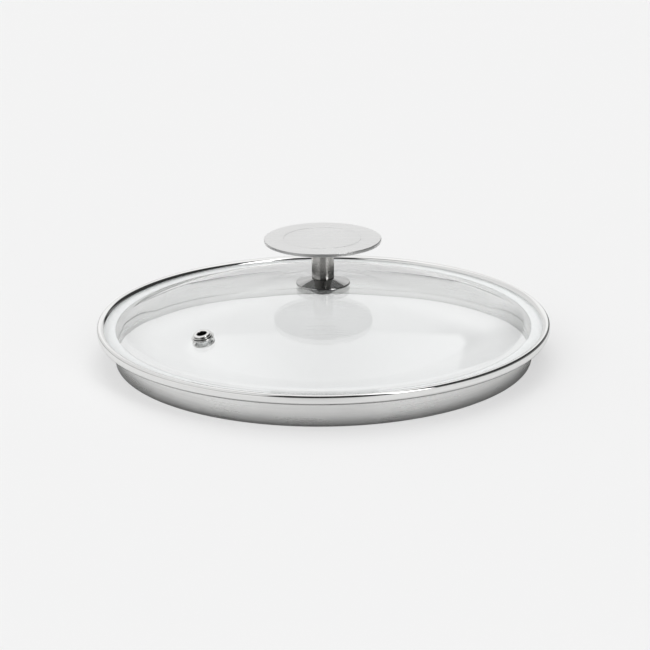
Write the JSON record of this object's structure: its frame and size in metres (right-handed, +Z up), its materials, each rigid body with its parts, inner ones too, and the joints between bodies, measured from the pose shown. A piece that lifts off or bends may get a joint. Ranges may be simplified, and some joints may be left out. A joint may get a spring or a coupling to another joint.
{
  "type": "glass pan lid",
  "caption": "Round domed glass lid for a saucepan, with a steel rim and drop-in skirt, a flat steel disc knob on a screwed stem, and a steel-lined steam vent.",
  "frame": {"origin": "on the lid's axis, at the foot of the skirt, where the lid stands on a table", "axes": "+Z up along the lid's axis through the knob; +X to the right in the picture and +Y away from its viewer; the vent lies at 221 degrees from +X"},
  "size_m": [0.214, 0.214, 0.0564],
  "materials": {
    "rim_steel": "rolled stainless strip, polished lip and satin skirt",
    "glass": "clear toughened glass",
    "knob_steel": "satin stainless, turned",
    "polished_steel": "bright polished stainless",
    "fixing_steel": "plain stainless fixings",
    "silicone": "clear food silicone"
  },
  "bodies": {
    "lid": {"rim": "rim_steel", "glass_dome": "glass", "collar_gasket": "silicone", "lower_gasket": "silicone", "screw_washer": "fixing_steel", "knob_screw": "fixing_steel", "vent_eyelet": "polished_steel", "vent_bush": "silicone", "vent_washer": "polished_steel"},
    "collar": {"knob_collar": "polished_steel"},
    "knob": {"knob_disc": "knob_steel", "knob_stem": "knob_steel"}
  },
  "joints": [
    {"name": "knob_turn", "type": "hinge", "parent": "lid", "child": "collar", "pos_m": [0, 0, 0.0355], "axis": [0, 0, 1], "range_deg": [0, 3600]},
    {"name": "knob_rise", "type": "slide", "parent": "collar", "child": "knob", "axis": [0, 0, 1], "range_m": [0, 0.008]}
  ],
  "couplings": [
    {"joint": "knob_rise", "follows": "knob_turn", "m_per_rad": 0.00012732}
  ]
}
